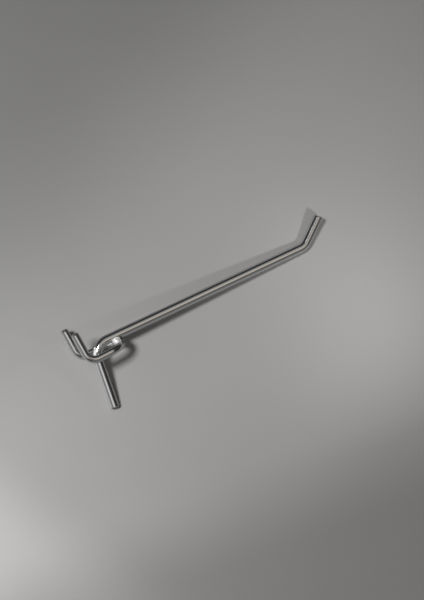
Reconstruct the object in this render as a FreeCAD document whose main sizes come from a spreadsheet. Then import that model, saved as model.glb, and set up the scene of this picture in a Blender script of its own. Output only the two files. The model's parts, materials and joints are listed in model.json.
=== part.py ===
"""Pegboard hook of two bent wires that are welded together.

Row frame: +X points away from the board along the arm, +Z is up, and the hook is the same on both
sides of y = 0. The origin lies on the board's front face, midway between the two holes that the
pegs go through, at the height of the holes' centres.
"""
import FreeCAD, Part
import math
import os
import Sketcher

# Every size is in millimetres and every angle in degrees.
SIZES = {
    "hole_pitch": (25.0, "centre distance of the board's holes"),
    "main_diameter": (6.0, "wire of the arm and leg"),
    "leg_length": (40.5, "arm's axis to the leg's lower end, at the back corner"),
    "back_bend_radius": (9.5, "bend from leg to arm, at the wire's centre"),
    "arm_length": (148.5, "back corner to front corner of the wire's centre line"),
    "arm_rise": (3.5, "slope of the arm, upwards to the front"),
    "front_bend_radius": (7.5, "bend from arm to tip, at the wire's centre"),
    "front_bend_angle": (40.5, "turn from arm to tip"),
    "tip_length": (21.0, "front corner to the tip's end"),
    "main_end_round": (0.9, "rounding of the main wire's cut ends"),
    "back_diameter": (4.8, "wire of the pegs"),
    "back_slope": (5.8, "slope of the back wire's legs, upwards to the front"),
    "closed_end_reach": (20.2, "board face to the wire's centre at the closed end"),
    "peg_setback": (5.0, "board face to the corner below each peg"),
    "peg_bend_radius": (7.0, "bend below each peg, at the wire's centre"),
    "peg_lean": (9.7, "lean of the pegs, backwards from upright"),
    "peg_length": (20.4, "corner below the peg to its end"),
    "peg_end_chamfer": (0.6, "chamfer of the pegs' cut ends"),
    "weld_set_down": (0.3, "depth that the wires are pressed into each other"),
    "bead_setback": (3.1, "crossing to the weld bead's centre line, towards the board"),
    "bead_width": (4.5, "thickness of the weld bead"),
    "bead_overhang": (1.5, "reach of the weld bead past each side of the arm"),
}


def make_sheet(doc):
    """Puts every driving size in a cell of its own, beside its name."""
    sheet = doc.addObject("Spreadsheet::Sheet", "Sizes")
    for row, (name, (value, meaning)) in enumerate(SIZES.items(), start=1):
        sheet.set(f"A{row}", name)
        sheet.set(f"B{row}", str(value))
        sheet.set(f"C{row}", meaning)
        sheet.setAlias(f"B{row}", name)
    doc.recompute()
    return sheet


def polar(length, degrees):
    """Step in a sketch plane."""
    angle = math.radians(degrees)
    return FreeCAD.Vector(length * math.cos(angle), length * math.sin(angle), 0)


def origin_plane(body, role):
    return next(item for item in body.Origin.OriginFeatures if item.Role == role)


def new_body(doc, name):
    body = doc.addObject("PartDesign::Body", name)
    body.Label = name
    body.Placement = FreeCAD.Placement()
    return body


def new_sketch(body, name, role):
    """Sketch on one of the body's own origin planes."""
    sketch = body.newObject("Sketcher::SketchObject", name)
    sketch.AttachmentSupport = [(origin_plane(body, role), "")]
    sketch.MapMode = "FlatFace"
    return sketch


def drive(sketch, name, expression, *constraint):
    """Adds a named constraint whose value follows the sheet."""
    index = sketch.addConstraint(Sketcher.Constraint(*constraint))
    sketch.renameConstraint(index, name)
    sketch.setExpression(f"Constraints.{name}", expression)


def add_arc(sketch, centre, radius, first, last):
    """Arc drawn counterclockwise from its first point to its last."""
    turns = [math.atan2(point.y - centre.y, point.x - centre.x) for point in (first, last)]
    circle = Part.Circle(centre, FreeCAD.Vector(0, 0, 1), radius)
    return sketch.addGeometry(Part.ArcOfCircle(circle, *turns), False)


def add_bent_path(sketch, corners, radii):
    """Straight runs joined by tangent arcs, with a point kept at each sharp corner.

    Returns the runs, the arcs and the corner points.
    """
    runs, arcs, points, arc_ends = [], [], [], []
    start = corners[0]
    for i, radius in enumerate(radii, start=1):
        corner = corners[i]
        back = (corners[i - 1] - corner).normalize()
        ahead = (corners[i + 1] - corner).normalize()
        half = back.getAngle(ahead) / 2
        bend_start = corner + back * (radius / math.tan(half))
        bend_end = corner + ahead * (radius / math.tan(half))
        centre = corner + (back + ahead).normalize() * (radius / math.sin(half))
        turns_left = ahead.cross(back).z > 0
        arc_points = (bend_start, bend_end) if turns_left else (bend_end, bend_start)
        runs.append(sketch.addGeometry(Part.LineSegment(start, bend_start), False))
        arcs.append(add_arc(sketch, centre, radius, *arc_points))
        arc_ends.append((1, 2) if turns_left else (2, 1))
        points.append(sketch.addGeometry(Part.Point(corner), True))
        start = bend_end
    runs.append(sketch.addGeometry(Part.LineSegment(start, corners[-1]), False))

    for i, (first, last) in enumerate(arc_ends):
        sketch.addConstraint(Sketcher.Constraint("Tangent", runs[i], 2, arcs[i], first))
        sketch.addConstraint(Sketcher.Constraint("Tangent", arcs[i], last, runs[i + 1], 1))
        sketch.addConstraint(Sketcher.Constraint("PointOnObject", points[i], 1, runs[i]))
        sketch.addConstraint(Sketcher.Constraint("PointOnObject", points[i], 1, runs[i + 1]))
    return runs, arcs, points


def add_wire_section(sketch, diameter_name, diameter):
    """Circle round the sketch's own origin."""
    circle = sketch.addGeometry(Part.Circle(FreeCAD.Vector(), FreeCAD.Vector(0, 0, 1), diameter / 2))
    sketch.addConstraint(Sketcher.Constraint("Coincident", circle, 3, -1, 1))
    drive(sketch, "wire_diameter", f"Sizes.{diameter_name}", "Diameter", circle, diameter)


def place(sketch, base, turn=None):
    """Binds a sketch's offset from its plane, and its turn about the row's Y axis."""
    for axis, expression in base.items():
        sketch.setExpression(f"AttachmentOffset.Base.{axis}", expression)
    if turn:
        sketch.AttachmentOffset = FreeCAD.Placement(
            FreeCAD.Vector(), FreeCAD.Rotation(FreeCAD.Vector(1, 0, 0), 1))
        sketch.setExpression("AttachmentOffset.Rotation.Angle", turn)


def sweep(body, name, section, path):
    pipe = body.newObject("PartDesign::AdditivePipe", name)
    pipe.Profile = section
    pipe.Spine = (path, [f"Edge{i + 1}" for i in range(len(path.Shape.Edges))])
    pipe.Mode = "Standard"
    section.Visibility = False
    return pipe


def end_edges(shape, centres, diameter):
    """Names of the round edges at the wire's cut ends."""
    names = []
    for i, edge in enumerate(shape.Edges, start=1):
        round_edge = isinstance(edge.Curve, Part.Circle) and abs(edge.Curve.Radius - diameter / 2) < 1e-4
        if round_edge and any(edge.Curve.Center.distanceToPoint(c) < 1e-3 for c in centres):
            names.append(f"Edge{i}")
    return names


# Height of the back corner. The arm's axis passes above the closed end of the back wire by half of
# each wire, less the depth that the weld presses them together.
SEAT_DISTANCE = "((Sizes.main_diameter + Sizes.back_diameter) / 2 - Sizes.weld_set_down)"
SEAT_HEIGHT = "(Sizes.back_diameter / 2 - Sizes.weld_set_down)"
CORNER_HEIGHT = ("(Sizes.closed_end_reach * tan(Sizes.back_slope * 1 deg)"
                 f" + {SEAT_DISTANCE} / cos(Sizes.arm_rise * 1 deg)"
                 " - (Sizes.closed_end_reach - Sizes.main_diameter / 2) * tan(Sizes.arm_rise * 1 deg))")


def corner_height(size):
    reach = size["closed_end_reach"]
    rise = math.radians(size["arm_rise"])
    seat = (size["main_diameter"] + size["back_diameter"]) / 2 - size["weld_set_down"]
    closed_end_height = reach * math.tan(math.radians(size["back_slope"]))
    return closed_end_height + seat / math.cos(rise) - (reach - size["main_diameter"] / 2) * math.tan(rise)


def make_main_wire(doc, size):
    """Leg, back bend, arm, front bend and tip, bent from one wire."""
    body = new_body(doc, "main_wire")
    diameter = size["main_diameter"]
    tip_slope = size["arm_rise"] + size["front_bend_angle"]
    back_corner = FreeCAD.Vector(diameter / 2, corner_height(size), 0)
    foot = back_corner - polar(size["leg_length"], 90)
    front_corner = back_corner + polar(size["arm_length"], size["arm_rise"])
    tip = front_corner + polar(size["tip_length"], tip_slope)

    path = new_sketch(body, "main_path", "XZ_Plane")
    runs, arcs, corners = add_bent_path(
        path, [foot, back_corner, front_corner, tip],
        [size["back_bend_radius"], size["front_bend_radius"]])
    leg, arm, tip_run = runs
    path.addConstraint(Sketcher.Constraint("Vertical", leg))
    drive(path, "leg_from_board", "Sizes.main_diameter / 2", "DistanceX", -1, 1, leg, 1, foot.x)
    drive(path, "corner_height", CORNER_HEIGHT, "DistanceY", -1, 1, corners[0], 1, back_corner.y)
    drive(path, "leg_length", "Sizes.leg_length", "Distance", leg, 1, corners[0], 1, size["leg_length"])
    drive(path, "arm_rise", "Sizes.arm_rise * 1 deg", "Angle", arm, math.radians(size["arm_rise"]))
    drive(path, "arm_length", "Sizes.arm_length",
          "Distance", corners[0], 1, corners[1], 1, size["arm_length"])
    drive(path, "tip_slope", "(Sizes.arm_rise + Sizes.front_bend_angle) * 1 deg",
          "Angle", tip_run, math.radians(tip_slope))
    drive(path, "tip_length", "Sizes.tip_length",
          "Distance", corners[1], 1, tip_run, 2, size["tip_length"])
    for arc, name in zip(arcs, ("back_bend_radius", "front_bend_radius")):
        drive(path, name, f"Sizes.{name}", "Radius", arc, size[name])

    section = new_sketch(body, "main_section", "XY_Plane")
    add_wire_section(section, "main_diameter", diameter)
    place(section, {"x": "Sizes.main_diameter / 2", "z": f"{CORNER_HEIGHT} - Sizes.leg_length"})
    doc.recompute()
    pipe = sweep(body, "main_run", section, path)
    doc.recompute()

    ends = [FreeCAD.Vector(point.x, 0, point.y) for point in (foot, tip)]
    rounding = body.newObject("PartDesign::Fillet", "main_cut_ends")
    rounding.Base = (pipe, end_edges(pipe.Shape, ends, diameter))
    rounding.setExpression("Radius", "Sizes.main_end_round")
    return body


def make_back_wire(doc, size):
    """Closed round end under the arm, two legs through the board and two pegs behind it.

    The near half is modelled, and mirrored over the hook's middle plane.
    """
    body = new_body(doc, "back_wire")
    diameter = size["back_diameter"]
    slope = size["back_slope"]
    turn_radius = size["hole_pitch"] / 2
    reach_along = size["closed_end_reach"] / math.cos(math.radians(slope))
    closed_end = polar(reach_along, slope)
    turn_centre = closed_end - polar(turn_radius, slope)

    # The closed end is half a turn, and its wire crosses the middle plane square to it.
    turn_sketch = new_sketch(body, "closed_end_section", "XZ_Plane")
    circle = turn_sketch.addGeometry(Part.Circle(closed_end, FreeCAD.Vector(0, 0, 1), diameter / 2))
    spoke = turn_sketch.addGeometry(Part.LineSegment(FreeCAD.Vector(), closed_end), True)
    pivot_end = turn_centre + polar(diameter, slope + 90)
    pivot = turn_sketch.addGeometry(Part.LineSegment(turn_centre, pivot_end), True)
    turn_sketch.addConstraint(Sketcher.Constraint("Coincident", spoke, 1, -1, 1))
    turn_sketch.addConstraint(Sketcher.Constraint("Coincident", spoke, 2, circle, 3))
    turn_sketch.addConstraint(Sketcher.Constraint("PointOnObject", pivot, 1, spoke))
    turn_sketch.addConstraint(Sketcher.Constraint("Perpendicular", pivot, spoke))
    drive(turn_sketch, "wire_diameter", "Sizes.back_diameter", "Diameter", circle, diameter)
    drive(turn_sketch, "back_slope", "Sizes.back_slope * 1 deg", "Angle", spoke, math.radians(slope))
    drive(turn_sketch, "reach", "Sizes.closed_end_reach", "DistanceX", -1, 1, circle, 3, closed_end.x)
    drive(turn_sketch, "turn_radius", "Sizes.hole_pitch / 2", "Distance", pivot, 1, circle, 3, turn_radius)
    drive(turn_sketch, "pivot_mark", "Sizes.back_diameter", "Distance", pivot, 1, pivot, 2, diameter)
    turn = body.newObject("PartDesign::Revolution", "closed_end")
    turn.Profile = turn_sketch
    turn.ReferenceAxis = (turn_sketch, ["Axis1"])
    turn.Angle = 90
    turn.Reversed = True
    doc.recompute()

    # Near leg and peg, in the plane of the near hole.
    corner_along = size["peg_setback"] / math.cos(math.radians(slope))
    corner = FreeCAD.Vector() - polar(corner_along, slope)
    peg_end = corner + polar(size["peg_length"], 90 + size["peg_lean"])
    path = new_sketch(body, "peg_path", "XZ_Plane")
    place(path, {"z": "Sizes.hole_pitch / 2"})
    runs, arcs, corners = add_bent_path(path, [peg_end, corner, turn_centre], [size["peg_bend_radius"]])
    peg, leg = runs
    path.addConstraint(Sketcher.Constraint("PointOnObject", -1, 1, leg))
    drive(path, "back_slope", "Sizes.back_slope * 1 deg", "Angle", leg, math.radians(slope))
    drive(path, "peg_lean", "(Sizes.peg_lean - 90) * 1 deg",
          "Angle", peg, math.radians(size["peg_lean"] - 90))
    drive(path, "peg_setback", "Sizes.peg_setback",
          "DistanceX", corners[0], 1, -1, 1, size["peg_setback"])
    drive(path, "peg_length", "Sizes.peg_length", "Distance", peg, 1, corners[0], 1, size["peg_length"])
    drive(path, "peg_bend_radius", "Sizes.peg_bend_radius", "Radius", arcs[0], size["peg_bend_radius"])
    leg_front_place = "Sizes.closed_end_reach - Sizes.hole_pitch / 2 * cos(Sizes.back_slope * 1 deg)"
    drive(path, "leg_front", leg_front_place, "DistanceX", -1, 1, leg, 2, turn_centre.x)

    section = new_sketch(body, "leg_section", "YZ_Plane")
    add_wire_section(section, "back_diameter", diameter)
    place(section,
          {"x": "-Sizes.hole_pitch / 2",
           "y": f"({leg_front_place}) * tan(Sizes.back_slope * 1 deg)",
           "z": leg_front_place},
          "-Sizes.back_slope * 1 deg")
    doc.recompute()
    near_run = sweep(body, "near_leg_and_peg", section, path)
    doc.recompute()
    both = body.newObject("PartDesign::Mirrored", "both_sides")
    both.Originals = [turn, near_run]
    both.MirrorPlane = (origin_plane(body, "XZ_Plane"), [""])
    body.Tip = both
    doc.recompute()

    peg_ends = [FreeCAD.Vector(peg_end.x, side * turn_radius, peg_end.y) for side in (-1, 1)]
    chamfer = body.newObject("PartDesign::Chamfer", "peg_cut_ends")
    chamfer.Base = (both, end_edges(both.Shape, peg_ends, diameter))
    chamfer.setExpression("Size", "Sizes.peg_end_chamfer")
    doc.recompute()

    add_weld(doc, body, size)
    return body


def add_weld(doc, body, size):
    """Bead laid under the arm in the crossing's inner corner, and the seat that the arm lies in."""
    half_length = size["main_diameter"] / 2 + size["bead_overhang"]
    radius = size["bead_width"] / 2
    sketch = new_sketch(body, "bead_section", "XY_Plane")
    place(sketch, {
        "x": ("Sizes.closed_end_reach - Sizes.bead_setback * cos(Sizes.arm_rise * 1 deg)"
              f" - {SEAT_HEIGHT} * sin(Sizes.arm_rise * 1 deg)"),
        "z": ("Sizes.closed_end_reach * tan(Sizes.back_slope * 1 deg)"
              " - Sizes.bead_setback * sin(Sizes.arm_rise * 1 deg)"
              f" + {SEAT_HEIGHT} * cos(Sizes.arm_rise * 1 deg)")})
    near_end, far_end = FreeCAD.Vector(0, -half_length, 0), FreeCAD.Vector(0, half_length, 0)
    near_centre, far_centre = (FreeCAD.Vector(0, side * (half_length - radius), 0) for side in (-1, 1))
    outward = FreeCAD.Vector(radius, 0, 0)
    core = sketch.addGeometry(Part.LineSegment(near_end, far_end), False)
    side = sketch.addGeometry(Part.LineSegment(near_centre + outward, far_centre + outward), False)
    near_nose = add_arc(sketch, near_centre, radius, near_end, near_centre + outward)
    far_nose = add_arc(sketch, far_centre, radius, far_centre + outward, far_end)
    for nose in (near_nose, far_nose):
        sketch.addConstraint(Sketcher.Constraint("PointOnObject", nose, 3, -2))
    sketch.addConstraint(Sketcher.Constraint("Coincident", core, 1, near_nose, 1))
    sketch.addConstraint(Sketcher.Constraint("Coincident", core, 2, far_nose, 2))
    sketch.addConstraint(Sketcher.Constraint("Tangent", side, 1, near_nose, 2))
    sketch.addConstraint(Sketcher.Constraint("Tangent", side, 2, far_nose, 1))
    sketch.addConstraint(Sketcher.Constraint("Symmetric", core, 1, core, 2, -1, 1))
    drive(sketch, "bead_radius", "Sizes.bead_width / 2", "Radius", near_nose, radius)
    drive(sketch, "bead_length", "Sizes.main_diameter + 2 * Sizes.bead_overhang",
          "Distance", core, 1, core, 2, 2 * half_length)
    doc.recompute()
    bead = body.newObject("PartDesign::Revolution", "weld_bead")
    bead.Profile = sketch
    bead.ReferenceAxis = (sketch, ["V_Axis"])
    bead.Angle = 360
    doc.recompute()

    seat_sketch = new_sketch(body, "seat_section", "YZ_Plane")
    add_wire_section(seat_sketch, "main_diameter", size["main_diameter"])
    place(seat_sketch,
          {"y": ("Sizes.closed_end_reach * tan(Sizes.back_slope * 1 deg)"
                 f" + {SEAT_DISTANCE} * cos(Sizes.arm_rise * 1 deg)"),
           "z": f"Sizes.closed_end_reach - {SEAT_DISTANCE} * sin(Sizes.arm_rise * 1 deg)"},
          "-Sizes.arm_rise * 1 deg")
    doc.recompute()
    before = body.Shape.Volume
    seat = body.newObject("PartDesign::Pocket", "arm_seat")
    seat.Profile = seat_sketch
    seat.Type = "Length"
    seat.setExpression("Length", "2 * (Sizes.bead_setback + Sizes.bead_width)")
    seat.Midplane = True
    doc.recompute()
    if not body.Shape.Volume < before:
        raise RuntimeError("the arm's seat cuts nothing")


def check(doc, bodies):
    doc.recompute()
    for item in doc.Objects:
        if "Invalid" in item.State or "Error" in item.State:
            raise RuntimeError(f"{item.Name} failed: {item.State}")
    for body in bodies:
        shape = body.Shape
        if shape.isNull() or not shape.isValid() or len(shape.Solids) != 1:
            raise RuntimeError(f"{body.Label} isn't one valid solid")


def main():
    doc = FreeCAD.newDocument("pegboard_hook")
    sheet = make_sheet(doc)
    size = {name: float(sheet.get(name)) for name in SIZES}
    bodies = [make_main_wire(doc, size), make_back_wire(doc, size)]
    check(doc, bodies)
    os.makedirs("parts", exist_ok=True)
    for body in bodies:
        body.Shape.exportStep(f"parts/{body.Label}.step")
        box = body.Shape.BoundBox
        print(body.Label, "volume", round(body.Shape.Volume, 1), "box",
              [round(v, 2) for v in (box.XMin, box.YMin, box.ZMin, box.XMax, box.YMax, box.ZMax)])


main()
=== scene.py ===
"""Pegboard hook of bright plated wire, lying on a grey table as in the photograph.

Lengths are in metres and angles in degrees, in the part's own frame: the hook hangs on a board in
the plane x = 0, +X points along the arm and +Z is up. The camera and the table are tilted, not the
hook.
"""
import json
import math

import bmesh
import bpy
from mathutils import Matrix, Quaternion, Vector

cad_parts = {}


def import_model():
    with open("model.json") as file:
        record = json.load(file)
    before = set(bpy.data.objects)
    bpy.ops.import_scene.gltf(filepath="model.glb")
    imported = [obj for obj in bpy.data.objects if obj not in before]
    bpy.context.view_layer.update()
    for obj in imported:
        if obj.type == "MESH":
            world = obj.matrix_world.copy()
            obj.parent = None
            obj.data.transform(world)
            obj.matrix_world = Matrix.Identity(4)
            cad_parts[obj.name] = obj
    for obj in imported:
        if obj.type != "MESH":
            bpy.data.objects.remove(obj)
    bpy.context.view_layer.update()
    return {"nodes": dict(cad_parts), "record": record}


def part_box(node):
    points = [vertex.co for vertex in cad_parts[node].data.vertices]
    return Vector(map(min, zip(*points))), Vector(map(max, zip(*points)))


MM = 0.001

# The photograph's camera, turned round the hook from a level look at its side
CAMERA_AIM = Vector((0.0834, 0, 0.00545))
CAMERA_AZIMUTH = -15.4
CAMERA_ELEVATION = 10.54
CAMERA_ROLL = -18.8
CAMERA_DISTANCE = 1.546
CAMERA_LENS = 150.0
CAMERA_SENSOR = 36.0
CAMERA_RANGE = (0.01, 20)

# Lamps. A direction over the table is a turn from the picture's right and a height above the table.
# The key lights the whole table. The fill is small and near the tip, and casts the pale shadow.
KEY_DIRECTION = (189.0, 66.0)
KEY_DISTANCE = 2.5
KEY_WIDTH = 0.50
KEY_POWER = 59.5
FILL_DIRECTION = (-51.5, 47.0)
FILL_DISTANCE = 0.16
FILL_WIDTH = 0.018
FILL_SPREAD = 115.0
FILL_POWER = 0.095

# Even light of the room on matt surfaces, and the bright patches of it that gloss mirrors.
# Each patch is (direction over the table, inner angle, outer angle, light).
ROOM_LIGHT = (0.03, 0.03, 0.03)
ROOM_GLOWS = {
    "ceiling": ((60.0, 72.0), 14.0, 35.0, (0.26, 0.26, 0.26)),
    "warm_patch": ((2.0, 66.0), 10.0, 25.0, (0.46, 0.42, 0.37)),
    "near_ceiling": ((270.0, 60.0), 9.0, 29.0, (0.58, 0.58, 0.58)),
    "left_wall": ((233.0, 26.0), 16.0, 36.0, (0.20, 0.20, 0.20)),
    "left_side": ((188.0, 4.0), 21.0, 34.0, (1.0, 1.0, 1.01)),
    "window": ((195.0, 36.0), 11.0, 23.0, (1.0, 1.0, 1.0)),
    "right_side": ((312.0, 12.0), 16.0, 40.0, (0.15, 0.15, 0.15)),
}
# What the camera sees past the table
BACKDROP_LEVEL = 0.55

TABLE_WIDTH = 4.0
# A face of the hook's hull that the table can touch looks away from the camera by at least this
FAR_SIDE_LEAST = 0.5
TABLE_COLOUR = (0.27, 0.267, 0.264)
TABLE_METALLIC = 0.4
TABLE_ROUGHNESS = 0.45
# Patterns of the top, as scale per metre and detail
TABLE_GRAIN = (900.0, 3.0)
TABLE_GRAIN_DEPTH = 0.05 * MM
TABLE_BUMP = 0.15
TABLE_CLOUDS = (5.0, 2.0)
TABLE_CLOUD_BAND = (0.3, 0.7)
TABLE_CLOUD_TONES = (0.97, 1.04)
# Painted shade and light: the top's colour changes slowly this way (right, up), between two
# distances, to the last value
TABLE_PAINTED_LIGHT_AND_SHADE = {
    "far_left": ((-0.75, 0.66), 5 * MM, 145 * MM, 0.67),
    "near_right": ((0.35, -0.94), 96 * MM, 160 * MM, 0.66),
    "near_left": ((-0.6, -0.8), 80 * MM, 130 * MM, 1.25),
}

# Shape of the back wire and its weld bead, which the finish follows
BACK_SLOPE = 5.8
CLOSED_END_REACH = 20.2 * MM
BACK_WIRE_RADIUS = 2.4 * MM
BEAD_PLACE = (16.98 * MM, 0, 3.96 * MM)

# How softly the coordinates along a wire turn at a bend, in radii of the wire
BEND_SOFTNESS = 3

# Patterns of the wires' finish, as scale per metre and detail. A share is what a length along the
# wire counts for, so that lines run along it. A band is where a pattern starts to show and is full.
DIE_LINES = (3200.0, 3.0)
DIE_LINE_SHARE = 0.015
DIE_LINE_BAND = (0.3, 0.7)
SCRATCHES = (1500.0, 1.0)
SCRATCH_SHARE = 0.12
SCRATCH_BAND = (0.66, 0.72)
PATCHES = (140.0, 3.0)
PATCH_BAND = (0.4, 0.7)
SPECKS = (2600.0, 1.0)
SPECK_BAND = (0.70, 0.78)
GRIT = (1800.0, 2.0)

# Where dullness starts and is full: depth from a cut end, and distance from the bead's middle line
CUT_END_DEPTHS = (0.9 * MM, 0.1 * MM)
WELD_REACH = (3.3 * MM, 2.5 * MM)
WELD_SQUEEZE = (1, 0.3, 1)

# Surface of the wires, and what each kind of mark does to it
ZINC_COLOURS = ((0.86, 0.865, 0.87, 1), (0.92, 0.915, 0.91, 1))
DULL_COLOUR = (0.70, 0.69, 0.68, 1)
SPECK_LEVEL = 0.45
MARK_STRENGTH = 0.5
DRAWN_ROUGHNESS = (0.05, 0.11)
PATCH_ROUGHNESS = (0.0, 0.05)
SCRATCH_ROUGHNESS = 0.12
DULL_ROUGHNESS = 0.20
EDGE_TINT = 0.4
WELD_METALLIC = 0.35
SCRATCH_HEIGHT = -0.8
SPECK_HEIGHT = -0.6
GRIT_HEIGHT = 2.0
WIRE_BUMP = 0.2
WIRE_BUMP_DEPTH = 0.012 * MM


def grey(level):
    return (level, level, level, 1)


class Shader:
    """Short calls for the nodes of one material or world."""

    def __init__(self, owner):
        owner.use_nodes = True
        self.tree = owner.node_tree
        self.tree.nodes.clear()

    def feed(self, socket, value):
        if isinstance(value, bpy.types.NodeSocket):
            self.tree.links.new(value, socket)
        else:
            socket.default_value = value

    def node(self, kind, inputs=None, **settings):
        node = self.tree.nodes.new(kind)
        for name, value in settings.items():
            setattr(node, name, value)
        for name, value in (inputs or {}).items():
            self.feed(node.inputs[name], value)
        return node

    def math(self, operation, *values):
        node = self.node("ShaderNodeMath", operation=operation)
        for socket, value in zip(node.inputs, values):
            self.feed(socket, value)
        return node.outputs[0]

    def times(self, first, second):
        return self.math("MULTIPLY", first, second)

    def total(self, *values):
        found = values[0]
        for value in values[1:]:
            found = self.math("ADD", found, value)
        return found

    def vectors(self, operation, vector, other):
        inputs = {0: vector, 1: other}
        return self.node("ShaderNodeVectorMath", inputs, operation=operation).outputs

    def dot(self, vector, direction):
        return self.vectors("DOT_PRODUCT", vector, direction)["Value"]

    def distance(self, vector, place):
        return self.vectors("DISTANCE", vector, place)["Value"]

    def minus(self, vector, place):
        return self.vectors("SUBTRACT", vector, place)["Vector"]

    def scaled(self, vector, factor):
        inputs = {0: vector, "Scale": factor}
        return self.node("ShaderNodeVectorMath", inputs, operation="SCALE").outputs["Vector"]

    def join(self, x, y, z):
        return self.node("ShaderNodeCombineXYZ", {"X": x, "Y": y, "Z": z}).outputs[0]

    def fade(self, value, start, end, low=0.0, high=1.0):
        """Smooth step of a value, from low at start to high at end."""
        inputs = {"Value": value, "From Min": start, "From Max": end, "To Min": low, "To Max": high}
        node = self.node("ShaderNodeMapRange", inputs, interpolation_type="SMOOTHSTEP")
        return node.outputs["Result"]

    def noise(self, vector, scale, detail):
        inputs = {"Vector": vector, "Scale": scale, "Detail": detail}
        return self.node("ShaderNodeTexNoise", inputs).outputs["Fac"]

    def mix(self, factor, first, second):
        node = self.node("ShaderNodeMix", {0: factor, 6: first, 7: second}, data_type="RGBA")
        return node.outputs[2]


def mount(record, name):
    """Place and unit direction of one of the part's mounts."""
    found = next(item for item in record["mounts"] if item["name"] == name)
    return Vector(found["pos_m"]), Vector(found["axis"]).normalized()


def main_wire_lines(shader, position, record, radius):
    """Two coordinates across the main wire and one along it, which follow its bends."""
    arm_place, arm = mount(record, "arm")
    tip_place, tip = mount(record, "tip")
    under_arm = shader.dot(shader.minus(position, arm_place), (arm.z, 0, -arm.x))
    off_board = shader.dot(shader.minus(position, (radius, 0, 0)), (1, 0, 0))
    over_tip = shader.dot(shader.minus(position, tip_place), (-tip.z, 0, tip.x))
    leg_and_arm = shader.math("SMOOTH_MIN", under_arm, off_board, BEND_SOFTNESS * radius)
    across = shader.math("MAXIMUM", leg_and_arm, shader.times(over_tip, -1.0))
    return across, shader.dot(position, (0, 1, 0)), shader.dot(position, (1, 0, -1))


def back_wire_lines(shader, position, record):
    """Two coordinates across the back wire and one along it, which follow its bends."""
    peg_place, peg = mount(record, "peg_left")
    slope = math.radians(BACK_SLOPE)
    turn_radius = peg_place.y
    turn_centre = CLOSED_END_REACH / math.cos(slope) - turn_radius
    along_leg = shader.dot(position, (math.cos(slope), 0, math.sin(slope)))
    over_leg = shader.dot(position, (-math.sin(slope), 0, math.cos(slope)))
    from_peg = shader.minus(position, (peg_place.x, 0, peg_place.z))
    before_peg = shader.dot(from_peg, (peg.z, 0, -peg.x))
    sideways = shader.dot(position, (0, 1, 0))
    past_turn = shader.math("MAXIMUM", shader.math("SUBTRACT", along_leg, turn_centre), 0.0)
    off_centre = shader.distance(shader.join(past_turn, sideways, 0.0), (0, 0, 0))
    outward = shader.math("SUBTRACT", off_centre, turn_radius)
    softness = BEND_SOFTNESS * BACK_WIRE_RADIUS
    upward = shader.math("SMOOTH_MIN", over_leg, before_peg, softness)
    return outward, upward, shader.total(along_leg, sideways)


def dull_places(shader, position, node, cut_directions):
    """Where the wire is dull, at its cut ends and its weld, and where the weld is."""
    ends = 0.0
    for direction in cut_directions:
        end = max(vertex.co.dot(direction) for vertex in node.data.vertices)
        start, full = (end - depth for depth in CUT_END_DEPTHS)
        near_end = shader.fade(shader.dot(position, direction), start, full)
        ends = shader.math("MAXIMUM", ends, near_end)
    squeezed = shader.vectors("MULTIPLY", position, WELD_SQUEEZE)["Vector"]
    weld = shader.fade(shader.distance(squeezed, BEAD_PLACE), *WELD_REACH)
    return shader.math("MAXIMUM", ends, weld), weld


def plated_wire(node, make_lines, cut_directions):
    """Bright zinc on drawn steel: die lines along the wire, handling marks and a dull weld."""
    material = bpy.data.materials.new(node.name)
    shader = Shader(material)
    position = shader.node("ShaderNodeTexCoord").outputs["Object"]
    across, sideways, along = make_lines(shader, position)

    die_line_way = shader.join(across, sideways, shader.times(along, DIE_LINE_SHARE))
    die_lines = shader.noise(die_line_way, *DIE_LINES)
    scratch_way = shader.join(across, sideways, shader.times(along, SCRATCH_SHARE))
    scratches = shader.fade(shader.noise(scratch_way, *SCRATCHES), *SCRATCH_BAND)
    patches = shader.noise(position, *PATCHES)
    specks = shader.fade(shader.noise(position, *SPECKS), *SPECK_BAND)
    dull, weld = dull_places(shader, position, node, cut_directions)

    roughness = shader.total(
        shader.fade(die_lines, *DIE_LINE_BAND, *DRAWN_ROUGHNESS),
        shader.fade(patches, *PATCH_BAND, *PATCH_ROUGHNESS),
        shader.times(scratches, SCRATCH_ROUGHNESS),
        shader.times(dull, DULL_ROUGHNESS))
    colour = shader.mix(patches, *ZINC_COLOURS)
    colour = shader.mix(shader.times(specks, MARK_STRENGTH), colour, grey(SPECK_LEVEL))
    colour = shader.mix(shader.times(dull, MARK_STRENGTH), colour, DULL_COLOUR)
    height = shader.total(
        die_lines,
        shader.times(scratches, SCRATCH_HEIGHT),
        shader.times(specks, SPECK_HEIGHT),
        shader.times(shader.noise(position, *GRIT), shader.times(dull, GRIT_HEIGHT)))

    bump = shader.node("ShaderNodeBump", {
        "Strength": WIRE_BUMP, "Distance": WIRE_BUMP_DEPTH, "Height": height})
    surface = shader.node("ShaderNodeBsdfPrincipled", {
        "Base Color": colour, "Metallic": shader.fade(weld, 0.0, 1.0, 1.0, WELD_METALLIC),
        "Roughness": roughness, "Specular Tint": grey(EDGE_TINT), "Normal": bump.outputs[0]})
    shader.node("ShaderNodeOutputMaterial", {"Surface": surface.outputs[0]})
    for slot in node.material_slots:
        slot.material = material


def resting_face(nodes):
    """A point of the table and its direction up to the hook.

    The table is the largest flat that the hook's hull has on its far lower side: it touches the
    leg's end, the front bend and the far side of the back wire.
    """
    hull = bmesh.new()
    for node in nodes:
        hull.from_mesh(node.data)
    shell = bmesh.ops.convex_hull(hull, input=hull.verts)["geom"]
    faces = [item for item in shell if isinstance(item, bmesh.types.BMFace)]
    for face in faces:
        face.normal_update()
    lower = [face for face in faces if face.normal.y > FAR_SIDE_LEAST and face.normal.z < 0]
    widest = max(lower, key=lambda face: face.calc_area())
    place, up = widest.verts[0].co.copy(), -widest.normal
    hull.free()
    return place, up


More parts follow.
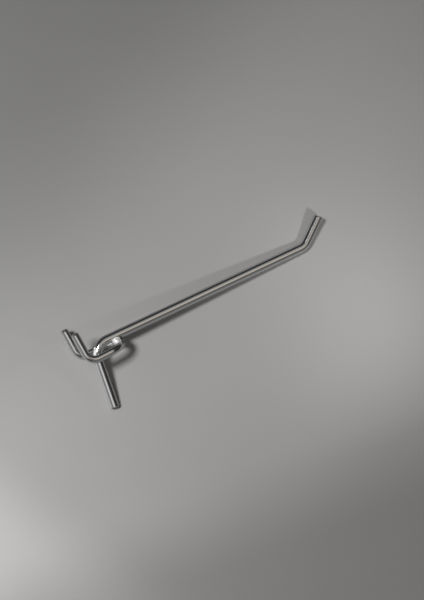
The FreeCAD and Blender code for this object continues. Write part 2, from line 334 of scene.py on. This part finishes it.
def add_object(name, data):
    """A new object in the scene."""
    item = bpy.data.objects.new(name, data)
    bpy.context.scene.collection.objects.link(item)
    return item


def make_camera():
    """Makes the photograph's camera, and gives the direction of the picture's right."""
    camera = add_object("camera", bpy.data.cameras.new("camera"))
    turn, lift = math.radians(CAMERA_AZIMUTH), math.radians(CAMERA_ELEVATION)
    back = Vector((math.sin(turn) * math.cos(lift), -math.cos(turn) * math.cos(lift),
                   math.sin(lift)))
    roll = Quaternion((0, 0, 1), math.radians(CAMERA_ROLL))
    camera.rotation_mode = "QUATERNION"
    camera.rotation_quaternion = (-back).to_track_quat("-Z", "Y") @ roll
    camera.location = CAMERA_AIM + back * CAMERA_DISTANCE
    camera.data.lens = CAMERA_LENS
    camera.data.sensor_width = CAMERA_SENSOR
    camera.data.clip_start, camera.data.clip_end = CAMERA_RANGE
    bpy.context.scene.camera = camera
    return camera.rotation_quaternion @ Vector((1, 0, 0))


class Table:
    """The table's place and its own directions: the picture's right and up, and off the top."""

    def __init__(self, nodes, picture_right):
        self.place, self.off = resting_face(nodes)
        self.right = (picture_right - self.off * picture_right.dot(self.off)).normalized()
        self.up = self.off.cross(self.right)

    def direction(self, turn_and_height):
        turn, height = (math.radians(angle) for angle in turn_and_height)
        flat = self.right * math.cos(turn) + self.up * math.sin(turn)
        return flat * math.cos(height) + self.off * math.sin(height)


def table_material():
    """Satin grey, which shows only from above so that the hook is seen from behind too."""
    material = bpy.data.materials.new("table_top")
    shader = Shader(material)
    position = shader.node("ShaderNodeTexCoord").outputs["Object"]
    grain = shader.noise(position, *TABLE_GRAIN)
    clouds = shader.noise(position, *TABLE_CLOUDS)
    cloud_tone_and_painted_light = shader.fade(clouds, *TABLE_CLOUD_BAND, *TABLE_CLOUD_TONES)
    # Painted shade far left and near right, and painted light near left, as broad slopes in the
    # top's colour
    for way, start, end, painted_level in TABLE_PAINTED_LIGHT_AND_SHADE.values():
        slope = shader.fade(shader.dot(position, (*way, 0)), start, end, 1.0, painted_level)
        cloud_tone_and_painted_light = shader.times(cloud_tone_and_painted_light, slope)
    bump = shader.node("ShaderNodeBump", {
        "Strength": TABLE_BUMP, "Distance": TABLE_GRAIN_DEPTH, "Height": grain})
    top = shader.node("ShaderNodeBsdfPrincipled", {
        "Base Color": shader.scaled(TABLE_COLOUR, cloud_tone_and_painted_light), "Metallic": TABLE_METALLIC,
        "Roughness": TABLE_ROUGHNESS, "Normal": bump.outputs[0]})
    clear = shader.node("ShaderNodeBsdfTransparent")
    under = shader.node("ShaderNodeNewGeometry").outputs["Backfacing"]
    either = shader.node("ShaderNodeMixShader", {0: under, 1: top.outputs[0], 2: clear.outputs[0]})
    shader.node("ShaderNodeOutputMaterial", {"Surface": either.outputs[0]})
    return material


def make_table(table):
    half = TABLE_WIDTH / 2
    mesh = bpy.data.meshes.new("table_top")
    corners = [(-half, -half, 0), (half, -half, 0), (half, half, 0), (-half, half, 0)]
    mesh.from_pydata(corners, [], [(0, 1, 2, 3)])
    mesh.materials.append(table_material())
    top_object = add_object("table_top", mesh)
    turn = Matrix((table.right, table.up, table.off)).transposed()
    top_object.matrix_world = Matrix.Translation(table.place) @ turn.to_4x4()


def make_lamp(name, table, aim, direction, distance, width, power):
    """A round lamp over the table, which the camera doesn't see."""
    lamp = add_object(name, bpy.data.lights.new(name, "AREA"))
    lamp.data.shape = "DISK"
    lamp.data.size = width
    lamp.data.energy = power
    lamp.visible_camera = False
    towards = table.direction(direction)
    lamp.location = aim + towards * distance
    lamp.rotation_mode = "QUATERNION"
    lamp.rotation_quaternion = towards.to_track_quat("Z", "Y")
    return lamp


def make_room(table):
    """Dim even light, bright patches that gloss mirrors, and a pale backdrop for the camera."""
    world = bpy.data.worlds.new("room")
    bpy.context.scene.world = world
    shader = Shader(world)
    ray = shader.node("ShaderNodeTexCoord").outputs["Generated"]
    mirrored = ROOM_LIGHT
    for direction, inner, outer, colour in ROOM_GLOWS.values():
        nearness = shader.dot(ray, table.direction(direction))
        edge, full = (math.cos(math.radians(angle)) for angle in (outer, inner))
        glow = shader.scaled(colour, shader.fade(nearness, edge, full))
        mirrored = shader.vectors("MAXIMUM", mirrored, glow)["Vector"]
    ray_kind = shader.node("ShaderNodeLightPath").outputs
    light = shader.mix(ray_kind["Is Glossy Ray"], (*ROOM_LIGHT, 1), mirrored)
    light = shader.mix(ray_kind["Is Camera Ray"], light, grey(BACKDROP_LEVEL))
    background = shader.node("ShaderNodeBackground", {"Color": light, "Strength": 1.0})
    shader.node("ShaderNodeOutputWorld", {"Surface": background.outputs[0]})


def main():
    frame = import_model()
    record, nodes = frame["record"], frame["nodes"]
    tip_place, tip = mount(record, "tip")
    peg = mount(record, "peg_left")[1]

    table = Table(nodes.values(), make_camera())
    make_table(table)
    make_lamp("key", table, CAMERA_AIM, KEY_DIRECTION, KEY_DISTANCE, KEY_WIDTH, KEY_POWER)
    fill = make_lamp("fill", table, tip_place, FILL_DIRECTION, FILL_DISTANCE, FILL_WIDTH,
                     FILL_POWER)
    fill.data.spread = math.radians(FILL_SPREAD)
    fill.visible_glossy = False
    make_room(table)

    main_radius = -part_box("main_wire")[0].y
    plated_wire(nodes["main_wire"],
                lambda shader, position: main_wire_lines(shader, position, record, main_radius),
                [Vector((0, 0, -1)), tip])
    plated_wire(nodes["back_wire"],
                lambda shader, position: back_wire_lines(shader, position, record),
                [peg])

    scene = bpy.context.scene
    scene.view_settings.view_transform = "Standard"


main()
